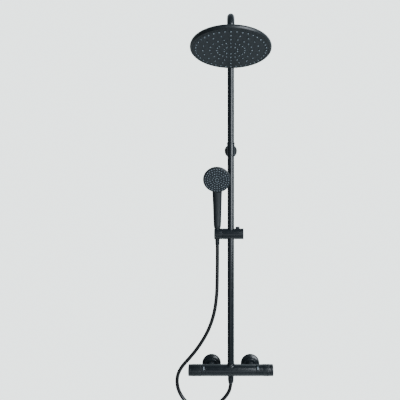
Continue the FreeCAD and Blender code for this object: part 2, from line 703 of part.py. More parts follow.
def hose_points():
    """The hose's route, from the hand shower's nut to the mixer's outlet."""
    spot = socket_spot()["turn"]
    centre = Vector(dim.socket_x.value, -dim.axis_depth.value, dim.slider_height.value)
    start = centre + spot.multVec(Vector(0, 0, -dim.nut_low.value))
    second = centre + spot.multVec(Vector(0, 0, -dim.nut_low.value - 52))
    middle = [
        (-51.2, -59.5, 350), (-52.4, -60, 283), (-62, -61.5, 211), (-85, -63, 146),
        (-117.5, -64, 92), (-150.5, -64.5, 50), (-186.5, -65, 11.5), (-202, -65, -22),
        (-202, -65, -59), (-190, -65, -91.5), (-166, -65, -123.5), (-131, -65, -144),
        (-90, -65, -146), (-54, -65, -133), (-25, -65, -106.5), (-9.5, -65, -85.7),
        (-2, -65, -66), (0, -65, -48),
    ]
    return [start, second] + [Vector(*point) for point in middle]


def rounded_path(points):
    """Straight runs joined by tangent arcs, each as large as its two runs allow."""
    edges, radii, last = [], [], points[0]
    for before, corner, after in zip(points, points[1:], points[2:]):
        to_before, to_after = (before - corner), (after - corner)
        reach = 0.45 * min(to_before.Length, to_after.Length)
        half_turn = (math.pi - to_before.getAngle(to_after)) / 2
        radii.append(reach / math.tan(half_turn))
        to_before.normalize()
        to_after.normalize()
        start, end = corner + to_before * reach, corner + to_after * reach
        inward = to_before + to_after
        inward.normalize()
        radius = radii[-1]
        away = math.hypot(reach, radius) - radius
        edges.append(Part.LineSegment(last, start).toShape())
        edges.append(Part.Arc(start, corner + inward * away, end).toShape())
        last = end
    edges.append(Part.LineSegment(last, points[-1]).toShape())
    return Part.Wire(edges), radii


def hose():
    """The hose as one plain tube along its route."""
    points = hose_points()
    path, radii = rounded_path(points)
    radius = dim.hose_radius.value
    ring = Part.Wire(Part.Circle(points[0], points[1] - points[0], radius).toShape())
    tube = path.makePipeShell([ring], True, True)
    length = path.Length
    print("hose length", round(length, 1), "bend radii", [round(r) for r in radii])
    print("runs", [round((b - a).Length) for a, b in zip(points, points[1:])])
    share = tube.Volume / (math.pi * radius ** 2 * length)
    if abs(share - 1) > 0.01:
        raise RuntimeError(f"the hose's volume is {share:.3f} of its section times its length")
    thing = doc.addObject("Part::Feature", "hose")
    thing.Label = "hose"
    thing.Shape = tube
    thing.Placement = Placement()
    keep(thing)


def export_all():
    """Checks every object and writes each sub-part."""
    doc.recompute()
    failed = [o.Name for o in doc.Objects if "Invalid" in o.State or "Error" in o.State]
    if failed:
        raise RuntimeError(f"failed objects: {failed}")
    for part in sub_parts:
        shape = part.Shape
        if shape.isNull() or not shape.isValid() or shape.Volume <= 0:
            raise RuntimeError(f"{part.Label} has no valid solid")
    for part in sub_parts:
        part.Shape.exportStep(f"parts/{part.Label}.step")
    print(len(sub_parts), "sub-parts")


HALF_SPACING = dim.inlet_spacing / 2
wall_connection("left", -HALF_SPACING)
wall_connection("right", HALF_SPACING)
mixer_body()
cartridges()
knob("temperature", 1, RIGHT, (dim.collar_end - 0.6, dim.scale_end), "safety_stop_button")
knob("flow", -1, LEFT, (dim.collar_end,), "eco_stop_button")
hose_outlet()
riser()
bracket()
arm()
ball_joint()
overhead_shower()
slider()
lock_button()
holder()
hand_shower()
hose_cone_nut()
hose()
export_all()
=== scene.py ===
import json
import math

import bpy
import numpy as np
from mathutils import Matrix, Vector


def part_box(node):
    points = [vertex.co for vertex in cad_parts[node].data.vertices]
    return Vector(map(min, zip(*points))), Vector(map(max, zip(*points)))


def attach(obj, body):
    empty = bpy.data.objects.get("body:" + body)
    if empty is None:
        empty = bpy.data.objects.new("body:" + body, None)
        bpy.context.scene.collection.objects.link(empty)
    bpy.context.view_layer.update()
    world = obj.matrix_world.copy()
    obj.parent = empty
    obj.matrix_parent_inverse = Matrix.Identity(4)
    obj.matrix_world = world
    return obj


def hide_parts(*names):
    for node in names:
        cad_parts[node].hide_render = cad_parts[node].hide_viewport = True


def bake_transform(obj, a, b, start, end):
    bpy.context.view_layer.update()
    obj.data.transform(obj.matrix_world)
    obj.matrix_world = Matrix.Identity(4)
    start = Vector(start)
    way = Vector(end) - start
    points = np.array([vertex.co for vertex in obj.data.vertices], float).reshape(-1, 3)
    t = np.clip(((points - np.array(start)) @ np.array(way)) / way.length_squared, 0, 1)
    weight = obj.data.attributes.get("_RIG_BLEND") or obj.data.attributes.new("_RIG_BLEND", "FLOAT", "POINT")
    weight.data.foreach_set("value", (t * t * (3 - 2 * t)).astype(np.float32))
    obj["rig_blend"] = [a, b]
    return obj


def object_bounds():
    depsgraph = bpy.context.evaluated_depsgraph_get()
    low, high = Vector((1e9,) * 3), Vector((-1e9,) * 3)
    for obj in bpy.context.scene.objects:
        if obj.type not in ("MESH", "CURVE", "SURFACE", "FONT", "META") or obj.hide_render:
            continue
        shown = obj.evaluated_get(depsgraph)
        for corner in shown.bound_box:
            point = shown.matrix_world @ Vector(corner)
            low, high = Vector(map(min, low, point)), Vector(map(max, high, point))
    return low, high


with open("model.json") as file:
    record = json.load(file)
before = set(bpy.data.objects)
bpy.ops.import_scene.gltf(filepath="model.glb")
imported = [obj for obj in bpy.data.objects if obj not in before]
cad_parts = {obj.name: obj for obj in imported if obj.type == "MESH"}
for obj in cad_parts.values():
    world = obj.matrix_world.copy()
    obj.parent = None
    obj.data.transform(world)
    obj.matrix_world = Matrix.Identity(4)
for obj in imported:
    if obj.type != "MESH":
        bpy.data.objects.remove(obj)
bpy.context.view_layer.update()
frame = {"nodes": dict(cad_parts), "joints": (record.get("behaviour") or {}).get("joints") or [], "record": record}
MM = 0.001
joints = {joint["name"]: joint for joint in frame["joints"]}


# ---------------------------------------------------------------- places from the frame


def middle(node):
    """The middle of a CAD node's box."""
    low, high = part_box(node)
    return (Vector(low) + Vector(high)) / 2


def extent(node):
    """The sides of a CAD node's box."""
    low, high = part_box(node)
    return Vector(high) - Vector(low)


AXIS = middle("lower_riser")
TUBE = extent("lower_riser").x / 2
BAR = extent("temperature_knob").z / 2
BAR_HALF = extent("mixer_body").x / 2
INLET = middle("rosette_right").x
BRACKET = middle("bracket_barrel").z
SLIDER = middle("slider_body").z
SLIDER_RADIUS = extent("slider_body").z / 2
BALL = Vector(joints["head_tilt"]["pos_m"])
SOCKET = Vector(joints["hose_nut_spin"]["pos_m"])


def frame_along(axis, centre, across=(1, 0, 0)):
    """A matrix whose Z runs along axis from centre, with X near across."""
    z = Vector(axis).normalized()
    y = z.cross(Vector(across)).normalized()
    turn = Matrix((y.cross(z), y, z)).transposed().to_4x4()
    return Matrix.Translation(Vector(centre)) @ turn


MIXER_CENTRE = Vector((0, AXIS.y, 0))
TO_RIGHT = frame_along((1, 0, 0), MIXER_CENTRE, (0, 1, 0))
TO_LEFT = frame_along((-1, 0, 0), MIXER_CENTRE, (0, 1, 0))
UPRIGHT = Matrix.Translation(Vector((AXIS.x, AXIS.y, 0)))
HEAD = frame_along(Vector((1, 0, 0)).cross(Vector(joints["head_roll"]["axis"])), BALL)
SOCKET_FRAME = frame_along(joints["handset_lift"]["axis"], SOCKET)

# The hand shower's face: how far it looks down, and where its middle is.
HAND_LEAN = math.radians(26)
HAND_FACE = Vector((SOCKET.x, -0.125, 0.713))
HAND_NORMAL = Vector((0, -math.cos(HAND_LEAN), -math.sin(HAND_LEAN)))
HAND = frame_along(HAND_NORMAL, HAND_FACE)


# ---------------------------------------------------------------- camera


CAMERA_DISTANCE = 1.72
CAMERA_HEIGHT = 0.696
LENS, SENSOR = 39.6, 36
SHIFT = (-0.077, -0.0375)


def make_camera():
    """The photograph's viewpoint: level, in front of the column, a little above its middle."""
    data = bpy.data.cameras.new("camera")
    data.lens = LENS
    data.sensor_width = SENSOR
    data.shift_x, data.shift_y = SHIFT
    camera = bpy.data.objects.new("camera", data)
    camera.location = (0, -CAMERA_DISTANCE, CAMERA_HEIGHT)
    camera.rotation_euler = (math.radians(90), 0, 0)
    bpy.context.scene.collection.objects.link(camera)
    bpy.context.scene.camera = camera


make_camera()


# ---------------------------------------------------------------- mesh helpers


def add_mesh(name, vertices, faces, sharp=35):
    """A mesh object with smooth faces and sharp edges above an angle."""
    mesh = bpy.data.meshes.new(name)
    mesh.from_pydata([tuple(v) for v in vertices], [], faces)
    mesh.validate()
    mesh.polygons.foreach_set("use_smooth", [True] * len(mesh.polygons))
    mesh.set_sharp_from_angle(angle=math.radians(sharp))
    thing = bpy.data.objects.new(name, mesh)
    bpy.context.scene.collection.objects.link(thing)
    return thing


def ring_faces(rings, segments):
    """The faces between rings of vertices that follow each other."""
    faces = []
    for ring in range(rings - 1):
        base = ring * segments
        for k in range(segments):
            n = (k + 1) % segments
            faces.append([base + k, base + n, base + segments + n, base + segments + k])
    return faces


def end_faces(count, segments):
    """The two faces that close the first and the last ring of so many vertices."""
    return [list(range(segments))[::-1], list(range(count - segments, count))]


def grid_faces(columns, rows):
    """The faces of a sheet of vertices, made row by row."""
    faces = []
    for row in range(rows):
        for column in range(columns):
            a = row * (columns + 1) + column
            faces.append([a, a + 1, a + columns + 2, a + columns + 1])
    return faces


def rounded(corners, steps=5):
    """An outline of (radius, height, rounding) corners in mm as points in metres, with arcs."""
    points = []
    count = len(corners)
    for number, (r, h, fillet) in enumerate(corners):
        here = Vector((r, h))
        before = Vector(corners[number - 1][:2]) - here
        after = Vector(corners[(number + 1) % count][:2]) - here
        if not fillet or before.length < 1e-6 or after.length < 1e-6:
            points.append(here * MM)
            continue
        half = before.angle(after) / 2
        reach = min(fillet / math.tan(half), 0.49 * before.length, 0.49 * after.length)
        start, end = here + before.normalized() * reach, here + after.normalized() * reach
        radius = reach * math.tan(half)
        centre = here + (before.normalized() + after.normalized()).normalized() * (
            radius / math.sin(half))
        spoke_a, spoke_b = start - centre, end - centre
        turn = spoke_a.angle_signed(spoke_b)
        for step in range(steps + 1):
            angle = -turn * step / steps
            c, s = math.cos(angle), math.sin(angle)
            spoke = Vector((c * spoke_a.x - s * spoke_a.y, s * spoke_a.x + c * spoke_a.y))
            points.append((centre + spoke) * MM)
    return points


def turned_arrays(outline, segments):
    """Vertices and faces of a closed outline turned about Z."""
    vertices, faces, rings = [], [], []
    for r, h in outline:
        if r < 1e-7:
            rings.append([len(vertices)] * segments)
            vertices.append((0, 0, h))
            continue
        rings.append(list(range(len(vertices), len(vertices) + segments)))
        for k in range(segments):
            angle = 2 * math.pi * k / segments
            vertices.append((r * math.cos(angle), r * math.sin(angle), h))
    for lower, upper in zip(rings, rings[1:] + rings[:1]):
        for k in range(segments):
            n = (k + 1) % segments
            corners = [lower[k], lower[n], upper[n], upper[k]]
            unique = list(dict.fromkeys(corners))
            if len(unique) > 2:
                faces.append(unique)
    return vertices, faces


def lathe(name, corners, place, segments=128, steps=5, sharp=35):
    """A turned piece from an outline of (radius, height, rounding) corners in mm."""
    vertices, faces = turned_arrays(rounded(corners, steps), segments)
    return add_mesh(name, [place @ Vector(v) for v in vertices], faces, sharp)


def plain_tube(inner, outer, low, high, edge=0.4):
    """A tube's outline."""
    return [(inner, low, 0), (outer, low, edge), (outer, high, edge), (inner, high, 0)]


def sweep(name, path, radius, segments):
    """A round solid along a path of points, with its rings square to the path."""
    path = [Vector(p) for p in path]
    tangents = [(b - a).normalized() for a, b in zip(path, path[1:])]
    between = [(a + b).normalized() for a, b in zip(tangents, tangents[1:])]
    tangents = [tangents[0]] + between + [tangents[-1]]
    side = tangents[0].orthogonal().normalized()
    vertices = []
    for point, tangent in zip(path, tangents):
        side = (side - tangent * side.dot(tangent)).normalized()
        other = tangent.cross(side)
        for k in range(segments):
            angle = 2 * math.pi * k / segments
            vertices.append(point + radius * (math.cos(angle) * side + math.sin(angle) * other))
    faces = ring_faces(len(path), segments) + end_faces(len(vertices), segments)
    return add_mesh(name, vertices, faces)


def join(name, things):
    """Several mesh objects as one."""
    vertices, faces = [], []
    for thing in things:
        start = len(vertices)
        vertices += [thing.matrix_world @ v.co for v in thing.data.vertices]
        faces += [[start + i for i in p.vertices] for p in thing.data.polygons]
        bpy.data.objects.remove(thing)
    return add_mesh(name, vertices, faces)


def finish_piece(thing, body, material, *nodes):
    """Gives a piece its material, the body that it rides and the CAD nodes that it stands for."""
    thing.data.materials.clear()
    thing.data.materials.append(materials[material])
    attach(thing, body)
    if nodes:
        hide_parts(*nodes)
    return thing


# ---------------------------------------------------------------- materials


def node_tree(name):
    """A new material's tree and its shader."""
    material = bpy.data.materials.new(name)
    material.use_nodes = True
    shader = material.node_tree.nodes["Principled BSDF"]
    return material, material.node_tree, shader


def noise(tree, scale, detail=3.0):
    """A noise texture in the piece's own coordinates."""
    place = tree.nodes.new("ShaderNodeTexCoord")
    texture = tree.nodes.new("ShaderNodeTexNoise")
    texture.inputs["Scale"].default_value = scale
    texture.inputs["Detail"].default_value = detail
    tree.links.new(place.outputs["Object"], texture.inputs["Vector"])
    return texture


# Most of a noise texture's values lie between the first two. SHEEN_SIZE is the scale of the broad
# unevenness of a surface, and RELIEF_DEPTH is the depth of its fine relief.
NOISE_LOW, NOISE_HIGH = 0.3, 0.7
SHEEN_SIZE = 90
RELIEF_DEPTH = 0.2 * MM


def drive(tree, texture, target, low, high):
    """Maps a texture's value to a range and gives it to a socket."""
    spread = tree.nodes.new("ShaderNodeMapRange")
    spread.inputs["From Min"].default_value = NOISE_LOW
    spread.inputs["From Max"].default_value = NOISE_HIGH
    spread.inputs["To Min"].default_value = low
    spread.inputs["To Max"].default_value = high
    tree.links.new(texture.outputs["Fac"], spread.inputs["Value"])
    tree.links.new(spread.outputs["Result"], target)


def tint(tree, texture, shader, dark, light):
    """Mixes two near colours by a texture."""
    ramp = tree.nodes.new("ShaderNodeValToRGB")
    ramp.color_ramp.elements[0].position = NOISE_LOW
    ramp.color_ramp.elements[1].position = NOISE_HIGH
    ramp.color_ramp.elements[0].color = (*dark, 1)
    ramp.color_ramp.elements[1].color = (*light, 1)
    tree.links.new(texture.outputs["Fac"], ramp.inputs["Fac"])
    tree.links.new(ramp.outputs["Color"], shader.inputs["Base Color"])


def bump(tree, texture, shader, strength):
    """A fine relief from a texture."""
    relief = tree.nodes.new("ShaderNodeBump")
    relief.inputs["Strength"].default_value = strength
    relief.inputs["Distance"].default_value = RELIEF_DEPTH
    tree.links.new(texture.outputs["Fac"], relief.inputs["Height"])
    tree.links.new(relief.outputs["Normal"], shader.inputs["Normal"])


def surface(name, dark, light, rough, grain, relief, metallic=0.0):
    """A solid surface: slightly uneven colour and gloss with a fine relief."""
    material, tree, shader = node_tree(name)
    broad = noise(tree, SHEEN_SIZE, 4)
    fine = noise(tree, grain, 2)
    tint(tree, broad, shader, dark, light)
    drive(tree, broad, shader.inputs["Roughness"], *rough)
    bump(tree, fine, shader, relief)
    shader.inputs["Metallic"].default_value = metallic
    return material


materials = {
    "black_metal": surface("black_metal", (0.0085, 0.012, 0.0145), (0.0105, 0.0145, 0.0175),
                           (0.25, 0.31), 2600, 0.03),
    "black_plastic": surface("black_plastic", (0.011, 0.0145, 0.017), (0.013, 0.017, 0.0195),
                             (0.4, 0.47), 2200, 0.12),
    "face_plastic": surface("face_plastic", (0.015, 0.02, 0.025), (0.018, 0.024, 0.029),
                            (0.46, 0.54), 3200, 0.15),
    "hose_plastic": surface("hose_plastic", (0.006, 0.007, 0.008), (0.008, 0.009, 0.01),
                            (0.22, 0.3), 1500, 0.08),
    "nozzle_silicone": surface("nozzle_silicone", (0.21, 0.25, 0.285), (0.25, 0.3, 0.34),
                               (0.55, 0.65), 3000, 0.15),
    # The buttons' pale grey is a painted highlight: it stands in for the glint of light on the raised buttons, not
    # their own colour.
    "pale_mark": surface("pale_mark", (0.16, 0.19, 0.21), (0.19, 0.22, 0.24), (0.32, 0.4), 1800,
                         0.08),
    "brass": surface("brass", (0.52, 0.36, 0.12), (0.62, 0.45, 0.18), (0.22, 0.36), 1200, 0.12,
                     metallic=1.0),
    "steel": surface("steel", (0.42, 0.42, 0.43), (0.54, 0.54, 0.55), (0.24, 0.38), 1200, 0.12,
                     metallic=1.0),
    "seal_rubber": surface("seal_rubber", (0.012, 0.012, 0.013), (0.018, 0.018, 0.019),
                           (0.65, 0.78), 2000, 0.2),
    "white_plastic": surface("white_plastic", (0.6, 0.6, 0.58), (0.68, 0.68, 0.66), (0.4, 0.5),
                             1800, 0.1),
}


def paint_cad_nodes():
    """Gives every CAD node the material of its slot."""
    for entry in frame["record"]["subparts"]:
        node = frame["nodes"][entry["node"]]
        node.data.materials.clear()
        node.data.materials.append(materials[entry["material_slot"]])


paint_cad_nodes()


# ---------------------------------------------------------------- hose


HOSE_ROUTE = [
    (-50.5, -62.8, 470.56), (-50.5, -60.08, 418.63), (-51.2, -59.5, 350), (-52.4, -60, 283),
    (-62, -61.5, 211), (-85, -63, 146), (-117.5, -64, 92), (-150.5, -64.5, 50),
    (-186.5, -65, 11.5), (-202, -65, -22), (-202, -65, -59), (-190, -65, -91.5),
    (-166, -65, -123.5), (-131, -65, -144), (-90, -65, -146), (-54, -65, -133),
    (-25, -65, -106.5), (-9.5, -65, -85.7), (-2, -65, -66), (0, -65, -48),
]
HOSE_RADIUS = 6.75 * MM
HOSE_SIDES = 32

# The heights at which the hose is cut: above the upper one it follows the hand shower, between
# them the holder, and below the lower one the slider.
HAND_CUT = 0.446
SLIDER_CUT = 0.387


def route_line(points):
    """Points read along the smooth route."""
    curve = bpy.data.curves.new("hose_route", "CURVE")
    curve.dimensions = "3D"
    curve.resolution_u = 24
    spline = curve.splines.new("NURBS")
    spline.points.add(len(points) - 1)
    for target, point in zip(spline.points, points):
        target.co = (*(Vector(point) * MM), 1)
    spline.order_u = 3
    spline.use_endpoint_u = True
    carrier = bpy.data.objects.new("hose_route", curve)
    mesh = bpy.data.meshes.new_from_object(carrier)
    line = [v.co.copy() for v in mesh.vertices]
    bpy.data.objects.remove(carrier)
    bpy.data.meshes.remove(mesh)
    return line


def cut_at(line, height):
    """The falling line's points above a height and below it, each with the point at the height."""
    for number, (a, b) in enumerate(zip(line, line[1:])):
        if a.z >= height > b.z:
            here = a.lerp(b, (a.z - height) / (a.z - b.z))
            return line[:number + 1] + [here], [here] + line[number + 1:]
    raise ValueError(f"the hose doesn't pass {height}")


def dense(line, step):
    """The line with more points, about a step apart."""
    points = [line[0]]
    for a, b in zip(line, line[1:]):
        pieces = max(1, round((b - a).length / step))
        points += [a.lerp(b, k / pieces) for k in range(1, pieces + 1)]
    return points


def follow_by_length(piece, path, sides):
    """Lets each ring of a blended hose follow the upper body by its share of the hose's length."""
    lengths = [0.0]
    for a, b in zip(path, path[1:]):
        lengths.append(lengths[-1] + (b - a).length)
    weights = piece.data.attributes["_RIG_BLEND"].data
    for ring, length in enumerate(lengths):
        share = 1 - length / lengths[-1]
        eased = share * share * (3 - 2 * share)
        for k in range(sides):
            weights[ring * sides + k].value = (share + eased) / 2


def make_hose():
    """The hose: a long length that follows the slider, and two short ones at the hand shower."""
    line = route_line(HOSE_ROUTE)
    top, rest = cut_at(line, HAND_CUT)
    upper, rest = cut_at(rest, SLIDER_CUT)
    long_path = dense(rest, 0.004)
    main = sweep("hose_length", long_path, HOSE_RADIUS, HOSE_SIDES)
    near_slider = sweep("hose_upper_length", dense(upper, 0.002), HOSE_RADIUS, HOSE_SIDES)
    near_nut = sweep("hose_top_length", dense(top, 0.001), HOSE_RADIUS, HOSE_SIDES)
    for piece in (main, near_slider, near_nut):
        piece.data.materials.append(materials["hose_plastic"])
    outlet, joint_low, joint_high = long_path[-1], upper[-1], top[-1]
    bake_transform(main, "column", "slider", outlet, joint_low)
    follow_by_length(main, long_path, HOSE_SIDES)
    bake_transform(near_slider, "slider", "holder", joint_low, joint_high)
    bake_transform(near_nut, "holder", "handset", joint_high, top[0])
    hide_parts("hose")
    return main, near_slider, near_nut, long_path


hose_main, hose_upper, hose_top, hose_path = make_hose()


# ---------------------------------------------------------------- wall connections


def make_rosettes():
    """The stepped wall rosettes and the union nuts in front of them."""
    rim = extent("rosette_right").x / 2 / MM
    for side, x in (("left", -INLET), ("right", INLET)):
        place = frame_along((0, -1, 0), (x, 0, 0))
        rosette = lathe(f"rosette_{side}_shell", [
            (rim - 3, 0, 0), (rim, 0, 0.4), (rim, 3.6, 1.4), (rim - 2, 6.2, 1.6),
            (rim - 7.5, 8.6, 2.5), (rim - 10.4, 11, 1.2), (rim - 10.8, 15.5, 1),
            (rim - 13, 18.4, 2), (12.4, 19, 0.6), (10.9, 18.4, 0), (10.9, 16.5, 0),
            (rim - 14.5, 16.2, 1), (rim - 12, 9.5, 1), (rim - 4, 4.5, 1)], place, 160)
        finish_piece(rosette, "column", "black_metal", f"rosette_{side}")
        nut = lathe(f"union_nut_{side}_ring", [
            (11, 27, 0), (14.6, 27, 0.5), (16, 28.4, 0.6), (16, 31, 0.3), (15.5, 31.6, 0.2),
            (15.5, 32.6, 0.2), (16, 33.2, 0.3), (16, 42.6, 0.6), (14.9, 43.8, 0.4),
            (13.4, 43.8, 0), (13.4, 30, 0), (11, 30, 0)], place, 96)
        finish_piece(nut, "column", "black_metal", f"union_nut_{side}")


# ---------------------------------------------------------------- mixer


def saddle_boss(radius, top, fillet, upwards):
    """A boss on the round bar, with a fillet that follows the bar's curve."""
    rings = []
    bar, steps, segments = BAR / MM, 8, 96
    for step in range(steps + 1):
        angle = math.pi / 2 * step / steps
        rings.append((radius + fillet * (1 - math.sin(angle)), fillet * (1 - math.cos(angle))))
    vertices = []
    for reach, rise in rings:
        for k in range(segments):
            turn = 2 * math.pi * k / segments
            across = reach * math.sin(turn)
            height = math.sqrt(bar * bar - across * across) + rise - 0.05
            vertices.append((reach * math.cos(turn), across, height))
    edge = 0.8
    for reach, height in ((radius, top - edge), (radius - 0.25, top - 0.25), (radius - edge, top),
                          (radius - 2.5, top)):
        for k in range(segments):
            turn = 2 * math.pi * k / segments
            vertices.append((reach * math.cos(turn), reach * math.sin(turn), height))
    faces = ring_faces(len(vertices) // segments, segments)
    flip = 1 if upwards else -1
    placed = [MIXER_CENTRE + Vector((x, y, z * flip)) * MM for x, y, z in vertices]
    if not upwards:
        faces = [face[::-1] for face in faces]
    return add_mesh("boss", placed, faces)


def make_mixer_body():
    """The bar, its riser boss, hose outlet and inlet spigots."""
    bar, half = BAR / MM, BAR_HALF / MM
    shell = lathe("bar", [(16, -half, 0), (bar, -half, 0.6), (bar, half, 0.6), (16, half, 0)],
                  TO_RIGHT, 160)
    parts = [shell, saddle_boss(14, 25, 2.2, True), saddle_boss(11, 33, 2, False)]
    parts.append(lathe("outlet_face", plain_tube(7, 10.2, -33, -20, 0.2), frame_along(
        (0, 0, 1), MIXER_CENTRE), 64))
    for x in (-INLET, INLET):
        place = frame_along((0, -1, 0), (x, 0, 0))
        parts.append(lathe("spigot", plain_tube(8.5, 13.2, 36, 52, 0.5), place, 64))
    finish_piece(join("mixer_bar", parts), "column", "black_metal", "mixer_body")


def grip_ribs(low, high, radius, place):
    """Fine ribs round a knob's grip."""
    vertices, faces = [], []
    count = 48
    for k in range(count):
        angle = 2 * math.pi * k / count
        start = len(vertices)
        for h, lift in ((low, 0), (low + 0.8, 0.28), (high - 0.8, 0.28), (high, 0)):
            for side in (-0.011, 0.011):
                reach = radius - 0.1 + lift
                vertices.append((reach * math.cos(angle + side), reach * math.sin(angle + side),
                                 h))
            vertices.append(((radius + lift) * math.cos(angle), (radius + lift) * math.sin(angle),
                             h))
        for row in range(3):
            a, b = start + row * 3, start + row * 3 + 3
            faces.append([a, a + 2, b + 2, b])
            faces.append([a + 2, a + 1, b + 1, b + 2])
    return add_mesh("ribs", [place @ (Vector(v) * MM) for v in vertices], faces, 60)


# Where a control's parts begin and end along the bar, from its middle, and its bore, in mm.
COLLAR_START = 94.4
GRIP_END = 148.2
CAP_START = 148.6
CAP_END = 159
CONTROL_BORE = 17.5


def make_control(prefix, place, grip_start, scale_start):
    """Collar, grip, scale ring and end cap of one control."""
    bar = BAR / MM
    body = f"{prefix}_control"
    collar = lathe(f"{prefix}_collar_shell", [
        (CONTROL_BORE, COLLAR_START, 0), (bar, COLLAR_START, 0.5), (bar, scale_start, 0.5),
        (CONTROL_BORE, scale_start, 0)], place, 160)
    finish_piece(collar, body, "black_metal")
    if scale_start < grip_start - 1:
        ring = lathe(f"{prefix}_scale_shell", [
            (CONTROL_BORE, scale_start + 0.3, 0), (bar - 0.2, scale_start + 0.3, 0.4),
            (bar - 0.2, scale_start + 4.6, 0.2), (bar - 0.5, scale_start + 4.9, 0.1),
            (bar - 0.5, scale_start + 5.3, 0.1), (bar - 0.2, scale_start + 5.6, 0.2),
            (bar - 0.2, grip_start - 0.3, 0.4), (CONTROL_BORE, grip_start - 0.3, 0)],
            place, 160)
        finish_piece(ring, body, "black_metal", f"{prefix}_scale_ring")
    grip = lathe(f"{prefix}_grip_shell", [
        (CONTROL_BORE, grip_start, 0), (bar, grip_start, 0.6), (bar, GRIP_END, 0.6),
        (CONTROL_BORE, GRIP_END, 0)], place, 160)
    ribs = grip_ribs(grip_start + 2.5, 145.5, bar, place)
    finish_piece(join(f"{prefix}_grip", [grip, ribs]), body, "black_metal", f"{prefix}_knob")
    cap = lathe(f"{prefix}_end_cap", [
        (0, CAP_START, 0), (bar, CAP_START, 0.5), (bar, CAP_END, 2.6), (16.5, CAP_END, 0.25),
        (16.2, CAP_END - 0.4, 0.1), (15.8, CAP_END - 0.4, 0.1), (15.5, CAP_END, 0.25),
        (0, CAP_END, 0)], place, 160, 8)
    finish_piece(cap, body, "black_metal", f"{prefix}_knob_cap")
    return collar


BUTTON_ANGLE = math.radians(40)


def make_button(name, body, node):
    """The curved push button in a knob's collar, as far up from the front as its angle. The button is real; its
    pale grey is a painted highlight that stands in for the glint of light on it.
    """
    out = Vector((0, -math.cos(BUTTON_ANGLE), math.sin(BUTTON_ANGLE)))
    along = Vector((0, math.sin(BUTTON_ANGLE), math.cos(BUTTON_ANGLE)))
    axis_point = Vector((middle(node).x, AXIS.y, 0))
    top, rim = 21.6 * MM, 18.4 * MM
    wide, long = 3.3 * MM, 7.2 * MM
    vertices = []
    columns, rows = 12, 20
    for row in range(rows + 1):
        v = -1 + 2 * row / rows
        for column in range(columns + 1):
            u = -1 + 2 * column / columns
            x, s = u * wide, v * long
            corner = max(0.0, (abs(u) ** 6 + abs(v) ** 12) ** 0.5)
            lift = top - (top - rim) * min(1.0, corner) ** 3
            swing = s / top
            direction = out * math.cos(swing) + along * math.sin(swing)
            vertices.append(axis_point + Vector((x, 0, 0)) + direction * lift)
    button = add_mesh(name, vertices, grid_faces(columns, rows), 60)
    finish_piece(button, body, "pale_mark", node)


def make_lower_nut():
    """The cone nut under the mixer."""
    place = frame_along((0, 0, -1), MIXER_CENTRE)
    nut = lathe("hose_nut_lower_cone", [
        (4, 35, 0), (7.2, 33.1, 0), (10.9, 33.1, 0.4), (10.9, 34.6, 0.2), (10.5, 34.9, 0.1),
        (10.5, 35.4, 0.1), (10.9, 35.7, 0.2), (10.8, 38, 0.4), (9.2, 47, 0.5), (8.4, 48, 0.4),
        (6.9, 48, 0.2), (6.9, 46.5, 0), (4, 46.5, 0)], place, 96)
    return finish_piece(nut, "column", "black_metal", "hose_nut_lower")


# ---------------------------------------------------------------- riser, bracket and arm


def make_riser():
    """The lower tube, the coupling sleeve and the bracket's barrel."""
    low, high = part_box("lower_riser")
    tube = lathe("riser_tube", plain_tube(11, TUBE / MM, low[2] / MM, high[2] / MM, 0.2), UPRIGHT,
                 96)
    finish_piece(tube, "column", "black_metal", "lower_riser")
    low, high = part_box("coupling_sleeve")
    bottom, top, outer = low[2] / MM, high[2] / MM, extent("coupling_sleeve").x / 2 / MM
    sleeve = lathe("coupling_shell", [
        (12.56, bottom, 0.1), (outer - 0.6, bottom, 0.5), (outer, bottom + 1, 0.4),
        (outer, bottom + 4.5, 0.4), (outer - 0.6, bottom + 5.3, 0.5),
        (outer - 0.6, top - 5.3, 0.5), (outer, top - 4.5, 0.4), (outer, top - 1, 0.4),
        (outer - 0.6, top, 0.5), (12.56, top, 0.1)], UPRIGHT, 96)
    finish_piece(sleeve, "column", "black_metal", "coupling_sleeve")
    place = frame_along((0, -1, 0), (0, 0, BRACKET))
    barrel = lathe("bracket_shell", [
        (20.5, 0, 0.2), (23.5, 0, 0.4), (23.5, 2.2, 0.2), (23.2, 2.5, 0.1), (23.2, 2.9, 0.1),
        (23.5, 3.2, 0.2), (23.5, 53, 1.2), (0, 53, 0), (0, 25, 0), (20.5, 25, 0.4)], place, 128)
    finish_piece(barrel, "column", "black_metal", "bracket_barrel")


def bend_points(centre, start, end, steps=24):
    """Points on a quarter circle from start to end about centre."""
    a, b = Vector(start) - Vector(centre), Vector(end) - Vector(centre)
    return [Vector(centre) + a * math.cos(t) + b * math.sin(t)
            for t in (math.pi / 2 * k / steps for k in range(steps + 1))]


def make_arm():
    """The upper riser and arm as one bent tube, with the ball stud under its end."""
    low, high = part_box("upper_riser_arm")
    top = high[2] - TUBE
    rear, front = 60 * MM, 50 * MM
    start = Vector((AXIS.x, AXIS.y, low[2]))
    end = Vector((AXIS.x, BALL.y, BALL.z + 20 * MM))
    back = Vector((AXIS.x, AXIS.y, top - rear))
    path = dense([start, back], 0.05)
    path += bend_points(back + Vector((0, -rear, 0)), back, (AXIS.x, AXIS.y - rear, top))[1:]
    path += bend_points((AXIS.x, BALL.y + front, top - front), (AXIS.x, BALL.y + front, top),
                        (AXIS.x, BALL.y, top - front))
    path.append(end)
    finish_piece(sweep("arm_tube", path, TUBE, 96), "arm", "black_metal", "upper_riser_arm")
    ball = [(11 * math.sin(t), -11 * math.cos(t), 0)
            for t in (math.radians(k) for k in range(20, 150, 6))]
    stud = lathe("ball_stud_turned", ball + [
        (6, 9.5, 0), (6, 17, 0.6), (12.4, 17.8, 0.4), (12.4, 20, 0.4), (10.9, 20, 0),
        (10.9, 29, 0.5), (4, 29, 0), (4, -10.2, 0)], Matrix.Translation(BALL), 96)
    finish_piece(stud, "arm", "brass", "arm_ball_stud")


# ---------------------------------------------------------------- overhead shower


